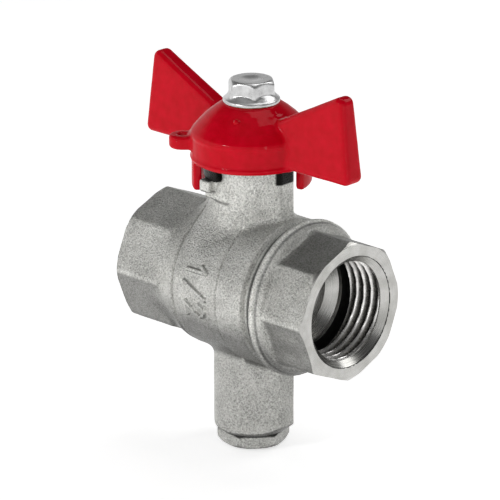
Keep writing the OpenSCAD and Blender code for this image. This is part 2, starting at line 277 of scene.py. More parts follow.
def body_field(x, y, z):
    """Body: left octagon, barrel, neck with its stops, branch, and the hollows inside."""
    rad = np.sqrt(y * y + z * z)
    along = np.sqrt(x * x + y * y)
    # the size mark stands on the front of the barrel, reading downwards
    around = np.arctan2(z, -y) * LOW_BELT
    mark = raised(stroke_distance(MARK_TOP - around, x - MARK_LEFT, "1/2", MARK_HIGH, MARK_STEP), 0.4, 0.45)
    barrel = (rad - barrel_profile(x) - np.where(y < 0, mark, 0)) * 0.97
    barrel = smax(barrel, LEFT_X + 6.0 - x, 0.3)
    octagon = smax(octagon_field(y, z, 0.45), x + 11.8, 0.5)
    octagon = np.maximum(octagon, LEFT_X - 0.7 - x)
    d = smin(octagon, barrel, 0.55)

    neck = smax(finned_bar(x, y, NECK_R), z - NECK_TOP, 0.5)
    neck = smax(neck, -z, 0.3)
    blend = 1.2 + 3.6 * smooth((3.0 - x) / 9.0)
    h = np.maximum(blend - np.abs(d - neck), 0) / blend
    d = np.minimum(d, neck) - h * h * blend * 0.25

    branch = finned_bar(x, y, BRANCH_R)
    low = BRANCH_Z - z
    cone = (along - BRANCH_R + 0.7 + low * 1.25) * 0.62
    branch = smax(smax(branch, low, 0.3), cone, 0.2)
    branch = smax(branch, z, 0.3)
    d = smin(d, branch, 1.6)

    boss = box_field(x, y, z, *BOSS, 0.35)
    column = box_field(x, y, z, *COLUMN, 0.3)
    peg = box_field(x, y, z, *FRONT_PEG, 0.45)
    rear = box_field(x, y, z, *REAR_PEG, 0.45)
    stops = smin(np.minimum(boss, column), peg, 0.5)
    d = smin(d, np.minimum(stops, rear), 0.7)
    # a collar stands out round the neck's hidden side; the material paints it black as painted shade under
    # the handle
    painted_shade_collar = np.maximum(along - PAINTED_SHADE_COLLAR_R, np.abs(z - PAINTED_SHADE_COLLAR_Z) - PAINTED_SHADE_COLLAR_HALF)
    d = np.minimum(d, np.maximum(painted_shade_collar, x - PAINTED_SHADE_COLLAR_X))
    d = d - 0.035 * waves(x, y, z, 7.0, 3)

    # turned and drilled hollows that stay out of sight
    d = smax(d, x - SEAL_X, 0.25)
    d = np.maximum(d, -np.maximum(rad - (BALL_R + 0.7), -x - CAVITY_END))
    d = np.maximum(d, -np.maximum(rad - (BALL_R + 1.1), 5.0 - x))
    d = np.maximum(d, -np.maximum(rad - SEAT_POCKET_R, -x - SEAT_END))
    d = np.maximum(d, -np.maximum(along - STEM_BORE_R, -z))
    d = np.maximum(d, -np.maximum(np.maximum(along - GLAND_R, -z), z - BALL_R - 2.6))
    return np.maximum(d, -np.maximum(np.maximum(along - BRANCH_BORE_R, z), BRANCH_Z - 1 - z))


def cap_field(x, y, z):
    """End cap: right octagon, flange, and the sleeve that screws into the body."""
    rad = np.sqrt(y * y + z * z)
    octagon = smax(octagon_field(y, z, 0.45), JOINT_X + 0.5 - x, 0.3)
    octagon = np.maximum(octagon, x - RIGHT_X - 0.7)
    r = np.interp(x, [JOINT_X + at for at, _ in FLANGE], [r for _, r in FLANGE])
    flange = smax((rad - r) * 0.85, x - JOINT_X - FLANGE_L, 0.3)
    flange = smax(flange, JOINT_X - x, 0.15)
    d = smin(octagon, flange, 0.6)
    d = d - 0.035 * waves(x, y, z, 6.0, 8)
    tail = np.maximum(rad - (BALL_R + 1.05), 6.0 - x)
    d = np.minimum(d, np.maximum(tail, x - JOINT_X - 1))
    d = np.maximum(d, -np.maximum(rad - SEAT_POCKET_R, x - SEAT_END))
    return np.maximum(d, -np.maximum(rad - (BALL_R - 0.6), x - CAVITY_END))


def convex_outline(points):
    """Corners of the convex hull of plane points, anticlockwise."""
    points = sorted(set(points))
    halves = []
    for run in (points, points[::-1]):
        chain = []
        for p in run:
            while len(chain) > 1 and ((chain[-1][0] - chain[-2][0]) * (p[1] - chain[-2][1])
                                      <= (chain[-1][1] - chain[-2][1]) * (p[0] - chain[-2][0])):
                chain.pop()
            chain.append(p)
        halves += chain[:-1]
    return halves


def outline_field(u, v, corners):
    """Exact distance to a convex outline in the plane."""
    inner, outer = -99.0, 1e9
    for (ax, ay), (bx, by) in zip(corners, corners[1:] + corners[:1]):
        dx, dy = bx - ax, by - ay
        size = math.hypot(dx, dy)
        pu, pv = u - ax, v - ay
        inner = np.maximum(inner, (pu * dy - pv * dx) / size)
        t = np.clip((pu * dx + pv * dy) / (size * size), 0, 1)
        outer = np.minimum(outer, (pu - t * dx) ** 2 + (pv - t * dy) ** 2)
    return np.where(inner < 0, inner, np.sqrt(outer))


def circle_points(cx, cy, r, count=40):
    """Points round a circle in the plane."""
    return [(cx + r * math.cos(2 * math.pi * i / count), cy + r * math.sin(2 * math.pi * i / count))
            for i in range(count)]


WING_OUTLINE = convex_outline(
    circle_points(WING_X - 1.3, WING_LOW + 1.3, 1.3) + circle_points(WING_X - 3.0, WING_TOP - 1.3, 1.4)
    + [(CUP_R - 1.5, WING_LOW), (CUP_R - 1.5, WING_ROOT), (CUP_R + 1.3, WING_ROOT)])


def wing_field(x, y, z):
    """Both wings at once: a rounded plate that grows thicker towards its lower edge."""
    plate = outline_field(np.abs(x), z, WING_OUTLINE)
    half = WING_HALF + WING_TAPER * (0.5 - (z - WING_LOW) / (WING_TOP - WING_LOW))
    return rounded(plate, np.abs(y) - half, WING_EDGE)


def sector(x, y, a0, a1):
    """Distance to a wedge of the circle between two angles in degrees, under 180 apart."""
    a0, a1 = math.radians(a0), math.radians(a1)
    left = x * math.sin(a0) - y * math.cos(a0)
    right = -x * math.sin(a1) + y * math.cos(a1)
    return np.maximum(left, right)


def handle_field(x, y, z):
    """Handle: domed hub with its cup, two wings, the ear for a sealing wire and two legs."""
    rad = np.sqrt(x * x + y * y)
    # the dome is a cone whose side bows outwards, square to its own slope
    bow = np.array([0, 0.25, 0.5, 0.75, 1.0])
    zs = SHOULDER_Z + (HUB_TOP - SHOULDER_Z) * bow
    rs = HUB_R + (DOME_TOP_R - HUB_R) * bow
    zs = zs + 0.76 * DOME_BOW * bow * (1 - bow)
    rs = rs + 0.66 * DOME_BOW * bow * (1 - bow)
    skirt = rad - HUB_R - 0.16 * smooth((z - SHOULDER_Z + 1.2) / 0.5) * (z < SHOULDER_Z + 0.3)
    skirt = skirt - 0.28 * np.exp(-((z - SKIRT_Z - 0.75) / 0.32) ** 2)
    cone = (rad - np.interp(z, zs, rs, left=20.0)) * 0.66
    cone = np.where(z < SHOULDER_Z, rad - HUB_R + (z - SHOULDER_Z) * 0.9 * 0.66, cone)
    hub = smax(skirt, cone, 0.45)
    hub = smax(hub, z - HUB_TOP, 0.5)
    hub = smax(hub, SKIRT_Z - z, 0.5)
    u = x * math.cos(EAR_ANGLE) + y * math.sin(EAR_ANGLE)
    v = -x * math.sin(EAR_ANGLE) + y * math.cos(EAR_ANGLE)
    middle = np.sqrt((u - EAR_R) ** 2 + v * v)
    arm = np.maximum(np.abs(v) - EAR_END_R, np.maximum(u - EAR_R, 9.0 - u))
    ear = rounded(np.minimum(middle - EAR_END_R, arm), np.abs(z - EAR_Z) - EAR_HALF, EAR_EDGE)
    ear = smax(ear, EAR_HOLE_R - middle, 0.3)
    d = smin(hub, wing_field(x, y, z), 0.9)
    d = smin(d, ear, 0.9)
    for a0, a1, low in LEGS:
        leg = smax(sector(x, y, a0, a1), rad - HUB_R, 0.4)
        leg = smax(leg, low - z, 1.0)
        leg = np.maximum(leg, z - SKIRT_Z - 2)
        d = smin(d, leg, 0.35)
    d = smax(d, -np.maximum(rad - CUP_R, z - WEB_Z), 0.35)
    hole = np.maximum(rad - STEM_HOLE_R, np.abs(x) - STEM_HOLE_HALF)
    d = np.maximum(d, -hole)
    dot = np.sqrt((x - DOT[0]) ** 2 + (y - DOT[1]) ** 2 + (z - DOT[2]) ** 2) - DOT_R
    d = smin(d, dot, 0.25)
    return d - 0.02 * waves(x, y, z, 6.0, 11)


def screw_field(x, y, z):
    """Flanged hexagon screw with a dished head and a plain shank."""
    rad = np.sqrt(x * x + y * y)
    h = z - HUB_TOP
    r = np.interp(h, [at for at, _ in SCREW_FLANGE], [r for _, r in SCREW_FLANGE])
    flange = smax((rad - r) * 0.8, -h, 0.15)
    flange = smax(flange, h - 1.9, 0.2)
    head = hexagon_field(x, y, SCREW_HEX_R, SCREW_HEX_TURN, 0.3)
    cone = (rad - SCREW_CORNER_R + 0.6 + (z - SCREW_TOP)) * 0.72
    head = smax(smax(head, z - SCREW_TOP, 0.25), cone, 0.3)
    head = smax(head, HUB_TOP + 0.5 - z, 0.1)
    d = smin(flange, head, 0.3)
    dish = np.sqrt(x * x + y * y + (z - SCREW_TOP - DISH_UP) ** 2) - DISH_R
    d = smax(d, -dish, 0.2)
    d = np.minimum(d, np.maximum(rad - SCREW_SHANK_R, np.maximum(SCREW_TIP_Z - z, z - HUB_TOP - 1)))
    return d - 0.008 * waves(x, y, z, 2.5, 5)


def plug_field(x, y, z):
    """Hexagonal plug with a hollow shank."""
    rad = np.sqrt(x * x + y * y)
    head = hexagon_field(x, y, PLUG_HEX_R, PLUG_HEX_TURN, 0.25)
    cone = (rad - PLUG_CORNER_R + 0.6 - (z - PLUG_Z)) * 0.71
    head = smax(smax(head, PLUG_Z - z, 0.25), cone, 0.3)
    head = smax(head, z - HEX_Z, 0.2)
    shank = np.maximum(rad - PLUG_SHANK_R, z - PLUG_TOP)
    shank = np.maximum(shank, HEX_Z - 0.5 - z)
    shank = np.maximum(shank, -np.maximum(rad - PLUG_HOLLOW_R, PLUG_FLOOR - z))
    return np.minimum(head, shank) - 0.012 * waves(x, y, z, 3.0, 6)


# ---------------------------------------------------------------- meshes
def linked(name, data):
    """New object in the scene."""
    obj = bpy.data.objects.new(name, data)
    bpy.context.scene.collection.objects.link(obj)
    return obj


def closed_solid(name, points, faces):
    """Smooth shaded closed mesh from points in metres, with its normals turned outwards."""
    mesh = bpy.data.meshes.new(name)
    mesh.from_pydata(points, [], faces)
    mesh.update()
    bm = bmesh.new()
    bm.from_mesh(mesh)
    bmesh.ops.recalc_face_normals(bm, faces=bm.faces)
    bm.to_mesh(mesh)
    bm.free()
    for p in mesh.polygons:
        p.use_smooth = True
    return linked(name, mesh)


SLAB = 24
MOVES = 4


def net(field, lo, hi, step):
    """Quad mesh of the field's zero surface, with every point moved onto it."""
    axes = [np.arange(a - step * 1.5, b + step * 2.5, step) for a, b in zip(lo, hi)]
    gx, gy, gz = axes[0][:, None, None], axes[1][None, :, None], axes[2][None, None, :]
    slabs = []
    for i in range(0, len(axes[0]), SLAB):
        slab = gx[i:i + SLAB]
        slabs.append(np.broadcast_to(field(slab, gy, gz), (len(slab), len(axes[1]), len(axes[2]))) < 0)
    inside = np.concatenate(slabs)

    # one point in the middle of each cell whose eight corners aren't all on one side
    n = np.zeros([s - 1 for s in inside.shape], np.int8)
    for i in (0, 1):
        for j in (0, 1):
            for k in (0, 1):
                n += inside[i:i + n.shape[0], j:j + n.shape[1], k:k + n.shape[2]]
    cells = np.argwhere((n > 0) & (n < 8))
    index = np.full(n.shape, -1, np.int32)
    index[tuple(cells.T)] = np.arange(len(cells))
    points = np.stack([axes[m][cells[:, m]] + step / 2 for m in range(3)], 1)

    # one quad across each grid edge that passes through the surface
    quads = []
    for axis in range(3):
        b, c = (axis + 1) % 3, (axis + 2) % 3
        first = [slice(1, -1)] * 3
        second = [slice(1, -1)] * 3
        first[axis], second[axis] = slice(0, -1), slice(1, None)
        s0, s1 = inside[tuple(first)], inside[tuple(second)]
        at = np.argwhere(s0 != s1)
        out = s0[tuple(at.T)]
        at[:, b] += 1
        at[:, c] += 1
        ring = []
        for db, dc in ((1, 1), (0, 1), (0, 0), (1, 0)):
            cell = at.copy()
            cell[:, b] -= db
            cell[:, c] -= dc
            ring.append(index[tuple(cell.T)])
        q = np.stack(ring, 1)
        q[~out] = q[~out][:, ::-1]
        quads.append(q)
    quads = np.concatenate(quads)

    # the points step down the field's slope, never leaving their own cell's neighbourhood
    home = points.copy()
    e = step * 0.05
    for _ in range(MOVES):
        p = [points[:, m] for m in range(3)]
        slope = []
        for k in range(3):
            ahead = field(*[p[m] + (e if m == k else 0) for m in range(3)])
            behind = field(*[p[m] - (e if m == k else 0) for m in range(3)])
            slope.append(ahead - behind)
        g = np.stack(slope, 1) / (2 * e)
        move = -(field(*p) / np.maximum((g * g).sum(1), 0.05))[:, None] * g
        points = home + np.clip(points + move - home, -step * 0.9, step * 0.9)
    return points, quads


def make_mesh(name, points, quads):
    """Smooth shaded mesh object from points in millimetres."""
    mesh = bpy.data.meshes.new(name)
    mesh.vertices.add(len(points))
    mesh.vertices.foreach_set("co", (np.asarray(points) * MM).astype(np.float32).ravel())
    quads = np.asarray(quads, np.int32)
    mesh.loops.add(quads.size)
    mesh.loops.foreach_set("vertex_index", quads.ravel())
    mesh.polygons.add(len(quads))
    mesh.polygons.foreach_set("loop_start", np.arange(0, quads.size, quads.shape[1], dtype=np.int32))
    mesh.update(calc_edges=True)
    mesh.validate()
    mesh.polygons.foreach_set("use_smooth", np.full(len(mesh.polygons), True))
    return linked(name, mesh)


def turned(name, xs, radius, segments):
    """Closed solid about X whose radius is radius(x, angle), with flat ends."""
    count = len(xs)
    angle = np.linspace(0, 2 * math.pi, segments, endpoint=False)
    grid_x, grid_a = np.meshgrid(xs, angle, indexing="ij")
    r = radius(grid_x, grid_a)
    points = np.stack([grid_x, r * np.cos(grid_a), r * np.sin(grid_a)], -1).reshape(-1, 3)
    i, j = np.meshgrid(np.arange(count - 1), np.arange(segments), indexing="ij")
    k = (j + 1) % segments
    quads = np.stack([i * segments + j, i * segments + k, (i + 1) * segments + k, (i + 1) * segments + j], -1)
    quads = quads.reshape(-1, 4)[:, ::-1]
    faces = [tuple(q) for q in quads.tolist()]
    faces.append(tuple(range(segments)))
    faces.append(tuple(range((count - 1) * segments, count * segments))[::-1])
    return closed_solid(name, (points * MM).tolist(), faces)


PORT_SEGMENTS = 128
PORT_STEP = 0.09
FACE_SEGMENTS = 192
MOUTH_LINE = (0.02, 0.14)


def port_radius(depth, angle, hand, minor_r):
    """Radius of the threaded port at a depth inside its face; outside the face depth is negative."""
    phase = (depth / PITCH + hand * angle / (2 * math.pi)) % 1.0
    flank = np.clip((0.5 - np.abs(phase - 0.5)) * 2 * 1.3 - 0.12, 0, 1)
    flank = (MAJOR_R - minor_r) * (0.75 * flank + 0.25 * smooth(flank))
    start = smooth((depth - MOUTH_L * 0.9) / (PITCH * 0.5))
    r = minor_r + flank * start
    r = np.maximum(r, MOUTH_R - depth)
    deep = (depth >= THREAD_L - 0.001) & (depth <= RELIEF_END)
    return np.where(deep, RELIEF_R, r)


def port_depths(throat):
    """Depths of the rings of the port's cutter, closer together where the radius changes."""
    out = list(np.arange(-1.2, THREAD_L, PORT_STEP))
    out += [THREAD_L - 0.02, THREAD_L, THREAD_L + 0.1, RELIEF_END - 0.1, RELIEF_END]
    return out + [d for d, _ in throat]


def port_cutter(name, face_x, sign, minor_r, throat):
    """Cutter for one port. throat lists (depth, radius) below the run-out groove."""
    depths = np.array(port_depths(throat))
    tail = len(throat)

    def radius(x, a):
        depth = (face_x - x) * sign
        r = port_radius(depth, a, sign, minor_r)
        for n, (_, t) in enumerate(throat):
            r[len(depths) - tail + n] = t
        return r

    return turned(name, face_x - depths * sign, radius, PORT_SEGMENTS)


def face_cutter(name, face_x, sign):
    """Cuts the flat end face and turns off the octagon's corners."""
    corner = OCT_R - FLAT_R
    outline = [(-2.5, 3.0), (-2.5, OCT_R + 2.5), (1.6, OCT_R + 2.5), (1.6, OCT_R + 0.95),
               (corner * 0.6, OCT_R), (0.0, OCT_R - corner * 0.75), (0.0, 3.0)]
    segments = FACE_SEGMENTS
    angle = np.linspace(0, 2 * math.pi, segments, endpoint=False)
    points, faces = [], []
    for d, r in outline:
        for a in angle:
            points.append((face_x - d * sign, r * math.cos(a), r * math.sin(a)))
    n = len(outline)
    for i in range(n):
        for j in range(segments):
            k = (j + 1) % segments
            m = (i + 1) % n
            faces.append((i * segments + j, i * segments + k, m * segments + k, m * segments + j))
    return closed_solid(name, [tuple(c * MM for c in p) for p in points], faces)


def cut(obj, cutter, material):
    """Subtracts the cutter, whose faces keep its own material."""
    cutter.data.materials.append(material)
    mod = obj.modifiers.new("cut", "BOOLEAN")
    mod.operation = "DIFFERENCE"
    mod.solver = "EXACT"
    mod.material_mode = "TRANSFER"
    mod.object = cutter
    graph = bpy.context.evaluated_depsgraph_get()
    mesh = bpy.data.meshes.new_from_object(obj.evaluated_get(graph))
    obj.modifiers.clear()
    old = obj.data
    obj.data = mesh
    bpy.data.meshes.remove(old)
    bpy.data.objects.remove(cutter)


def tint_port(obj, face_x, sign):
    """Gives the port's thread its own material, and paints its run-out groove and a thin line in its mouth
    near black as painted shade.
    """
    mesh = obj.data
    count = len(mesh.polygons)
    centre = np.empty(count * 3)
    mesh.polygons.foreach_get("center", centre)
    centre = centre.reshape(-1, 3) / MM
    slot = np.empty(count, np.int32)
    mesh.polygons.foreach_get("material_index", slot)
    machined = mesh.materials.find(MACHINED.name)
    depth = (face_x - centre[:, 0]) * sign
    rad = np.hypot(centre[:, 1], centre[:, 2])
    mesh.materials.append(THREAD)
    mesh.materials.append(PAINTED_SHADE_GROOVE)
    port = (slot == machined) & (rad < RELIEF_R + 0.05)
    thread, groove = len(mesh.materials) - 2, len(mesh.materials) - 1
    slot[port & (depth > MOUTH_L) & (depth < THREAD_L)] = thread
    # painted shade on the mouth line and the run-out groove
    slot[port & (depth > MOUTH_LINE[0]) & (depth < MOUTH_LINE[1])] = groove
    slot[port & (depth > THREAD_L - 0.05) & (depth < RELIEF_END + 0.02) & (rad > MINOR_R + 0.02)] = groove
    mesh.polygons.foreach_set("material_index", slot)


# ---------------------------------------------------------------- materials
def grey(value):
    """Neutral colour."""
    return (value, value, value)


def new_material(name):
    """Material with a Principled shader, its node tree and that shader."""
    mat = bpy.data.materials.new(name)
    mat.use_nodes = True
    tree = mat.node_tree
    tree.nodes.clear()
    out = tree.nodes.new("ShaderNodeOutputMaterial")
    bsdf = tree.nodes.new("ShaderNodeBsdfPrincipled")
    tree.links.new(bsdf.outputs["BSDF"], out.inputs["Surface"])
    return mat, tree, bsdf


def coords(tree):
    """Object coordinates in millimetres."""
    node = tree.nodes.new("ShaderNodeTexCoord")
    scale = tree.nodes.new("ShaderNodeVectorMath")
    scale.operation = "SCALE"
    scale.inputs["Scale"].default_value = 1 / MM
    tree.links.new(node.outputs["Object"], scale.inputs[0])
    return scale.outputs["Vector"]


def parts(tree, vector):
    """X, Y and Z outputs of a vector."""
    node = tree.nodes.new("ShaderNodeSeparateXYZ")
    tree.links.new(vector, node.inputs[0])
    return node.outputs


def upward(tree):
    """Z of the surface normal: 1 on tops, 0 on walls, -1 on undersides."""
    node = tree.nodes.new("ShaderNodeNewGeometry")
    return parts(tree, node.outputs["Normal"])["Z"]


def pipe_radius(tree, vector):
    """Distance from the pipe axis, X."""
    flat = tree.nodes.new("ShaderNodeVectorMath")
    flat.operation = "MULTIPLY"
    flat.inputs[1].default_value = (0.0, 1.0, 1.0)
    tree.links.new(vector, flat.inputs[0])
    length = tree.nodes.new("ShaderNodeVectorMath")
    length.operation = "LENGTH"
    tree.links.new(flat.outputs[0], length.inputs[0])
    return length.outputs["Value"]


def noise(tree, vector, scale, detail=3.0, roughness=0.55):
    """Noise whose scale is in cycles per unit of the vector."""
    node = tree.nodes.new("ShaderNodeTexNoise")
    node.inputs["Scale"].default_value = scale
    node.inputs["Detail"].default_value = detail
    node.inputs["Roughness"].default_value = roughness
    tree.links.new(vector, node.inputs["Vector"])
    return node.outputs["Fac"]


def ramp(tree, fac, stops):
    """Colour ramp with stops of (position, colour)."""
    node = tree.nodes.new("ShaderNodeValToRGB")
    elements = node.color_ramp.elements
    while len(elements) < len(stops):
        elements.new(0.5)
    for element, (position, colour) in zip(elements, stops):
        element.position = position
        element.color = (*colour, 1.0)
    tree.links.new(fac, node.inputs["Fac"])
    return node.outputs["Color"]


def map_range(tree, value, a, b, c, d):
    """Maps a..b to c..d, held at the ends."""
    node = tree.nodes.new("ShaderNodeMapRange")
    for key, v in zip(("From Min", "From Max", "To Min", "To Max"), (a, b, c, d)):
        node.inputs[key].default_value = v
    tree.links.new(value, node.inputs["Value"])
    return node.outputs["Result"]


def pair(tree, operation, a, b):
    """One Math node of two outputs."""
    node = tree.nodes.new("ShaderNodeMath")
    node.operation = operation
    tree.links.new(a, node.inputs[0])
    tree.links.new(b, node.inputs[1])
    return node.outputs[0]


def product(tree, *values):
    """All the outputs multiplied together."""
    total = values[0]
    for value in values[1:]:
        total = pair(tree, "MULTIPLY", total, value)
    return total


def weighted(tree, a, b, wa, wb):
    """a * wa + b * wb."""
    node = tree.nodes.new("ShaderNodeMath")
    node.operation = "MULTIPLY_ADD"
    tree.links.new(a, node.inputs[0])
    node.inputs[1].default_value = wa
    scaled = tree.nodes.new("ShaderNodeMath")
    scaled.operation = "MULTIPLY"
    tree.links.new(b, scaled.inputs[0])
    scaled.inputs[1].default_value = wb
    tree.links.new(scaled.outputs[0], node.inputs[2])
    return node.outputs[0]


def mixed(tree, factor, a, b, blend="MIX"):
    """Mixes b into a. The factor is an output, or 1 throughout when it is None."""
    node = tree.nodes.new("ShaderNodeMix")
    node.data_type = "RGBA"
    node.blend_type = blend
    if factor is None:
        node.inputs["Factor"].default_value = 1.0
    else:
        tree.links.new(factor, node.inputs["Factor"])
    tree.links.new(a, node.inputs["A"])
    if isinstance(b, tuple):
        node.inputs["B"].default_value = (*b, 1.0)
    else:
        tree.links.new(b, node.inputs["B"])
    return node.outputs["Result"]


def band(tree, value, middle, half):
    """1 at the middle of a band, falling to 0 at its edges."""
    up = map_range(tree, value, middle - half, middle - half * 0.4, 0, 1)
    down = map_range(tree, value, middle + half * 0.4, middle + half, 1, 0)
    return product(tree, up, down)


def bump(tree, bsdf, height, strength, distance):
    """Relief of the shader's surface, its distance in metres."""
    node = tree.nodes.new("ShaderNodeBump")
    node.inputs["Strength"].default_value = strength
    node.inputs["Distance"].default_value = distance
    tree.links.new(height, node.inputs["Height"])
    tree.links.new(node.outputs["Normal"], bsdf.inputs["Normal"])


def forged_nickel():
    """Blasted and plated forging: grainy, with painted shade and light by facing and height, a painted
    highlight and painted shade at the flange, a dark seam and painted shade under the handle.
    """
    mat, tree, bsdf = new_material("forged_nickel")
    v = coords(tree)
    place = parts(tree, v)
    up = upward(tree)
    grain = noise(tree, v, 2.9, 3.0, 0.6)
    pits = noise(tree, v, 6.0, 2.0, 0.5)
    patch = noise(tree, v, 0.25, 3.0, 0.5)
    relief = weighted(tree, grain, pits, 0.65, 0.35)
    both = weighted(tree, relief, patch, 0.82, 0.18)
    tone = ramp(tree, both, [(0.38, (0.32, 0.318, 0.30)), (0.5, (0.6, 0.598, 0.568)),
                             (0.62, (0.82, 0.818, 0.785))])

    # painted shade: undersides and tops are painted darker than the sides by the way the surface faces
    painted_facing_shade = ramp(tree, map_range(tree, up, -1, 1, 0, 1),
                  [(0.05, grey(0.3)), (0.28, grey(0.36)), (0.46, grey(0.95)), (0.6, grey(1.0)),
                   (0.7, grey(0.86)), (0.85, grey(0.86)), (0.97, grey(0.72))])
    # painted light: the neck is painted lighter above the barrel
    neck = map_range(tree, place["Z"], 12.0, 17.0, 1.0, 1.2)
    # painted shade: the branch is painted darker towards its bottom
    branch = map_range(tree, place["Z"], -14.0, -2.0, 0.8, 1.0)

    # painted shade darkens the cap's upper facets; a dark line runs along the seam beside the flange, the
    # flange's crest gets a painted highlight and its foot painted shade
    painted_cap_top_shade = product(tree, map_range(tree, place["X"], JOINT_X + 2.0, JOINT_X + 4.0, 0, 1),
                      map_range(tree, up, 0.6, 0.8, 0, 1))
    rim = map_range(tree, pipe_radius(tree, v), 15.0, 15.3, 1, 0)
    shade = product(tree, painted_facing_shade, neck, branch, map_range(tree, painted_cap_top_shade, 0, 1, 1, 0.5))
    # in turn: the dark seam line, the painted highlight on the crest, the painted shade at the flange's foot
    for middle, half, factor in ((SEAM_X, 0.5, 0.22), (JOINT_X + 0.75, 0.35, 1.35),
                                 (JOINT_X + 1.4, 0.3, 0.55)):
        line = product(tree, band(tree, place["X"], middle, half), rim)
        shade = product(tree, shade, map_range(tree, line, 0, 1, 1, factor))
    colour = mixed(tree, None, tone, shade, "MULTIPLY")

    # painted shade: the sides of the neck where the handle hides them are painted near black
    fin = map_range(tree, place["X"], 8.2, 8.45, 0, 1)
    left = map_range(tree, place["X"], -0.45, -0.25, 1, 0)
    painted_shade_height = map_range(tree, place["Z"], 20.95, 21.2, 0, 1)
    dark = product(tree, pair(tree, "MAXIMUM", left, fin), painted_shade_height)
    tree.links.new(mixed(tree, dark, colour, (0.015, 0.015, 0.014)), bsdf.inputs["Base Color"])
    tree.links.new(map_range(tree, both, 0.35, 0.65, 0.42, 0.32), bsdf.inputs["Roughness"])
    bsdf.inputs["Metallic"].default_value = 1.0
    bump(tree, bsdf, relief, 1.0, 0.00045)
    return mat


def machined_nickel():
    """Turned surface about the pipe axis, with fine tool rings."""
    mat, tree, bsdf = new_material("machined_nickel")
    v = coords(tree)
    rings = tree.nodes.new("ShaderNodeCombineXYZ")
    tree.links.new(parts(tree, v)["X"], rings.inputs["X"])
    tree.links.new(pipe_radius(tree, v), rings.inputs["Y"])
    lines = noise(tree, rings.outputs[0], 3.2, 3.0, 0.6)
    cloud = noise(tree, v, 0.35, 2.0, 0.5)
    tree.links.new(ramp(tree, cloud, [(0.35, (0.42, 0.416, 0.396)), (0.65, (0.52, 0.516, 0.498))]),
                   bsdf.inputs["Base Color"])
    tree.links.new(map_range(tree, lines, 0.3, 0.7, 0.2, 0.32), bsdf.inputs["Roughness"])
    bsdf.inputs["Metallic"].default_value = 1.0
    bump(tree, bsdf, lines, 0.25, 0.00004)
    return mat


def thread_nickel():
    """Crests painted bright and valleys painted dark by depth, as painted highlight and painted shade."""
    mat, tree, bsdf = new_material("thread_nickel")
    v = coords(tree)
    deep = map_range(tree, pipe_radius(tree, v), MINOR_R, MAJOR_R, 0, 1)
    wear = noise(tree, v, 0.8, 3.0, 0.6)
    both = weighted(tree, deep, wear, 0.85, 0.15)
    tree.links.new(ramp(tree, both, [(0.15, (0.82, 0.81, 0.79)), (0.5, (0.58, 0.57, 0.55)),
                                     (0.78, (0.16, 0.158, 0.15)), (0.95, (0.02, 0.02, 0.018))]),
                   bsdf.inputs["Base Color"])
    tree.links.new(map_range(tree, wear, 0.3, 0.7, 0.2, 0.34), bsdf.inputs["Roughness"])
    bsdf.inputs["Metallic"].default_value = 1.0
    bump(tree, bsdf, wear, 0.2, 0.00005)
    return mat


def red_enamel():
    """Gloss coat with a slight orange peel."""
    mat, tree, bsdf = new_material("red_enamel")
    v = coords(tree)
    peel = noise(tree, v, 0.55, 2.0, 0.5)
    speck = noise(tree, v, 3.0, 3.0, 0.6)
    tree.links.new(ramp(tree, peel, [(0.3, (0.5, 0.0004, 0.008)), (0.7, (0.58, 0.0008, 0.013))]),
                   bsdf.inputs["Base Color"])
    tree.links.new(map_range(tree, speck, 0.3, 0.7, 0.2, 0.28), bsdf.inputs["Roughness"])
    bsdf.inputs["Specular IOR Level"].default_value = 0.0
    bsdf.inputs["Coat Weight"].default_value = 0.4
    bsdf.inputs["Coat IOR"].default_value = 1.36
    bsdf.inputs["Coat Roughness"].default_value = 0.05
    bump(tree, bsdf, peel, 0.2, 0.0003)
    return mat


def zinc_steel():
    """Zinc plate, with upward faces painted lighter as painted light from above."""
    mat, tree, bsdf = new_material("zinc_steel")
    v = coords(tree)
    fine = noise(tree, v, 2.6, 4.0, 0.6)
    broad = noise(tree, v, 0.6, 2.0, 0.5)
    both = weighted(tree, fine, broad, 0.4, 0.6)
    # painted light: faces turned up take the lighter copy of the tone
    side = ramp(tree, both, [(0.32, grey(0.42)), (0.68, grey(0.72))])
    top = ramp(tree, both, [(0.32, grey(0.72)), (0.68, grey(0.98))])
    tree.links.new(mixed(tree, map_range(tree, upward(tree), 0.3, 0.8, 0, 1), side, top),
                   bsdf.inputs["Base Color"])
    tree.links.new(map_range(tree, both, 0.3, 0.7, 0.24, 0.4), bsdf.inputs["Roughness"])
    bsdf.inputs["Metallic"].default_value = 1.0
    bump(tree, bsdf, fine, 0.4, 0.00006)
    return mat


def plain(name, dark, light, scale, rough, metallic=0.0, strength=0.2):
    """Material of one colour with a fine grain in its tone, roughness and surface."""
    mat, tree, bsdf = new_material(name)
    grain = noise(tree, coords(tree), scale, 3.0, 0.55)
    tree.links.new(ramp(tree, grain, [(0.3, dark), (0.7, light)]), bsdf.inputs["Base Color"])
    tree.links.new(map_range(tree, grain, 0.3, 0.7, rough[0], rough[1]), bsdf.inputs["Roughness"])
    bsdf.inputs["Metallic"].default_value = metallic
    bump(tree, bsdf, grain, strength, 0.00005)
    return mat


FORGED = forged_nickel()
MACHINED = machined_nickel()
THREAD = thread_nickel()
ENAMEL = red_enamel()
ZINC = zinc_steel()
CHROME = plain("chrome_ball", grey(0.72), grey(0.8), 1.2, (0.06, 0.12), 1.0, 0.05)
BRASS = plain("brass_stem", (0.6, 0.44, 0.18), (0.74, 0.57, 0.28), 1.6, (0.22, 0.34), 1.0)
PTFE = plain("ptfe", (0.80, 0.80, 0.77), (0.90, 0.90, 0.88), 1.1, (0.38, 0.5))
RUBBER = plain("black_rubber", grey(0.012), grey(0.03), 2.5, (0.5, 0.7))
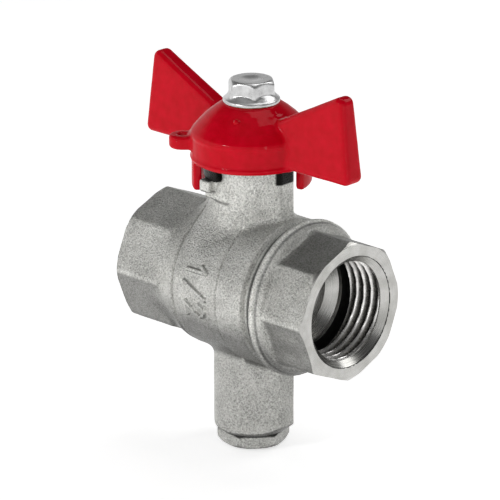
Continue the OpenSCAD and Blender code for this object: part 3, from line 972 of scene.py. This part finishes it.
# near black for the port's run-out groove and mouth line, as painted shade
PAINTED_SHADE_GROOVE = plain("groove_painted_shade", (0.012, 0.012, 0.011), (0.03, 0.03, 0.028), 1.4, (0.4, 0.55), 0.6)
GASKET = plain("grey_gasket", (0.03, 0.03, 0.03), (0.07, 0.07, 0.065), 2.5, (0.6, 0.8))


def dress(obj, material):
    """Leaves the object with this one material."""
    obj.data.materials.clear()
    obj.data.materials.append(material)


for node, material in (("ball", CHROME), ("seat_left", PTFE), ("seat_right", PTFE), ("stem", BRASS),
                       ("thrust_washer", PTFE), ("stem_oring_lower", RUBBER), ("stem_oring_upper", RUBBER),
                       ("cap_seal", GASKET), ("plug_seal", GASKET)):
    dress(NODES[node], material)


# ---------------------------------------------------------------- pieces
def sculpted(name, field, lo, hi, step, material):
    """Piece meshed from a distance field inside the box lo..hi, in millimetres."""
    points, quads = net(field, lo, hi, step * ROUGH_STEP)
    obj = make_mesh(name, points, quads)
    dress(obj, material)
    return obj


def finish_piece(obj, body, node, angle=None):
    """Sets what the piece rides on and replaces. Edges above the angle in degrees stay sharp."""
    if angle:
        obj.data.set_sharp_from_angle(angle=math.radians(angle))
    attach(obj, body)
    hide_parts(node)


# the port's and octagon's edges stay sharp above this angle in degrees
SHARP = 32
ROUGH_STEP = 1.0

body = sculpted("forged_body", body_field, (LEFT_X - 0.8, -15, BRANCH_Z), (SEAL_X, 15, NECK_TOP),
                0.27, FORGED)
cut(body, face_cutter("left_face", LEFT_X, -1), MACHINED)
cut(body, port_cutter("left_port", LEFT_X, -1, LEFT_MINOR_R,
                      [(RELIEF_END, MINOR_R), (RELIEF_END + 0.01, BORE_R), (18.0, BORE_R)]), MACHINED)
tint_port(body, LEFT_X, -1)
finish_piece(body, "valve_body", "body", SHARP)

# behind the right thread a short land leads into a 45 degree cone down to the bore
land_end = RELIEF_END + 0.8
cap = sculpted("forged_end_cap", cap_field, (6, -15, -15), (RIGHT_X + 0.8, 15, 15), 0.22, FORGED)
cut(cap, face_cutter("right_face", RIGHT_X, 1), MACHINED)
cut(cap, port_cutter("right_port", RIGHT_X, 1, MINOR_R,
                     [(RELIEF_END, MINOR_R), (land_end, MINOR_R), (land_end + (MINOR_R - BORE_R), BORE_R),
                      (21.0, BORE_R)]), MACHINED)
tint_port(cap, RIGHT_X, 1)
finish_piece(cap, "valve_body", "end_cap", SHARP)

# the handle stays out of the metal's reflections, which show no red
handle = sculpted("enamelled_handle", handle_field, (-WING_X, -14, LEG_Z), (WING_X, 12, WING_TOP),
                  0.24, ENAMEL)
finish_piece(handle, "handle_and_stem", "handle")
handle.visible_glossy = False

screw = sculpted("flanged_screw", screw_field, (-5.5, -5.5, 26.8), (5.5, 5.5, SCREW_TOP), 0.11, ZINC)
finish_piece(screw, "handle_and_stem", "handle_screw")

plug = sculpted("hex_plug", plug_field, (-7, -7, PLUG_Z), (7, 7, -20.7), 0.14, FORGED)
finish_piece(plug, "valve_body", "plug")


# ---------------------------------------------------------------- studio
FRAME_SIDE = 500
SENSOR = 36
# degrees round, up and over; then millimetres aside, up and away; then picture units per millimetre
VIEW_ANGLES = (44.166, 19.282, -0.335)
ASIDE, ABOVE, AWAY = 0.468, -5.715, 634.1
PER_MM = 5.351
FLOOR_GAP, FLOOR_HALF = 0.0005, 3.0
# the brighter side of the room
BRIGHT_WAY = (-0.45, -0.89, 0.0)
# name, direction from the valve, distance, width and height in metres, watts
LIGHTS = (("key_front", (-0.15, -0.95, 0.48), 0.55, (0.12, 0.06), 0.6),
          ("fill_right", (0.9, -0.35, 0.15), 0.6, (0.05, 0.4), 0.17),
          ("back_right", (0.31, 0.68, 0.64), 0.5, (0.22, 0.22), 0.45),
          ("top", (0.0, 0.3, 1.0), 0.6, (0.3, 0.3), 0.45))


def camera():
    """Places the camera by azimuth, elevation and roll, looking a little aside of the ball's centre."""
    azimuth, elevation, roll = (math.radians(v) for v in VIEW_ANGLES)
    back = Vector((math.sin(azimuth) * math.cos(elevation), -math.cos(azimuth) * math.cos(elevation),
                   math.sin(elevation)))
    right = Vector((math.cos(azimuth), math.sin(azimuth), 0))
    up = back.cross(right)
    r = right * math.cos(roll) + up * math.sin(roll)
    u = up * math.cos(roll) - right * math.sin(roll)
    place = (back * AWAY - r * ASIDE - u * ABOVE) * MM
    data = bpy.data.cameras.new("camera")
    data.sensor_width = SENSOR
    data.lens = PER_MM * AWAY / FRAME_SIDE * SENSOR
    data.clip_start, data.clip_end = 0.01, 20
    cam = linked("camera", data)
    m = Matrix((r, u, back)).transposed().to_4x4()
    m.translation = place
    cam.matrix_world = m
    bpy.context.scene.camera = cam


def area_light(name, toward, distance, size, power):
    """Soft light placed along toward from the valve and aimed back at it."""
    data = bpy.data.lights.new(name, "AREA")
    data.shape = "RECTANGLE"
    data.size, data.size_y = size
    data.energy = power
    obj = linked(name, data)
    way = Vector(toward).normalized()
    obj.location = way * distance
    obj.rotation_mode = "QUATERNION"
    obj.rotation_quaternion = way.to_track_quat("Z", "Y")


def floor():
    """Pale floor just under the plug, bright enough to read as white."""
    mesh = bpy.data.meshes.new("floor")
    z = PLUG_Z * MM - FLOOR_GAP
    s = FLOOR_HALF
    mesh.from_pydata([(-s, -s, z), (s, -s, z), (s, s, z), (-s, s, z)], [], [(0, 1, 2, 3)])
    obj = linked("floor", mesh)
    mat, tree, bsdf = new_material("pale_floor")
    speck = noise(tree, coords(tree), 0.02, 2.0)
    tree.links.new(ramp(tree, speck, [(0.3, grey(0.90)), (0.7, grey(0.92))]),
                   bsdf.inputs["Base Color"])
    bsdf.inputs["Roughness"].default_value = 0.9
    bsdf.inputs["Specular IOR Level"].default_value = 0.0
    bsdf.inputs["Emission Color"].default_value = (1, 1, 1, 1)
    bsdf.inputs["Emission Strength"].default_value = 0.62
    dress(obj, mat)


def world():
    """Soft room: bright low down at the front left, dim overhead and at the back right."""
    w = bpy.data.worlds.new("studio")
    bpy.context.scene.world = w
    w.use_nodes = True
    tree = w.node_tree
    tree.nodes.clear()
    out = tree.nodes.new("ShaderNodeOutputWorld")
    bg = tree.nodes.new("ShaderNodeBackground")
    coord = tree.nodes.new("ShaderNodeTexCoord")
    height = ramp(tree, map_range(tree, parts(tree, coord.outputs["Generated"])["Z"], -1, 1, 0, 1),
                  [(0.0, grey(0.8)), (0.5, grey(0.8)), (0.67, grey(0.62)),
                   (0.76, grey(0.1)), (0.9, grey(0.08)), (1.0, grey(0.3))])
    dot = tree.nodes.new("ShaderNodeVectorMath")
    dot.operation = "DOT_PRODUCT"
    dot.inputs[1].default_value = BRIGHT_WAY
    tree.links.new(coord.outputs["Generated"], dot.inputs[0])
    side = map_range(tree, dot.outputs["Value"], -1, 1, 0.3, 1.75)
    tree.links.new(product(tree, height, side), bg.inputs["Strength"])
    bg.inputs["Color"].default_value = (1.0, 1.0, 1.0, 1.0)
    tree.links.new(bg.outputs[0], out.inputs["Surface"])


camera()
floor()
world()
for light in LIGHTS:
    area_light(*light)

scene = bpy.context.scene
scene.view_settings.view_transform = "Standard"
scene.view_settings.look = "None"
scene.view_settings.exposure = 0.0
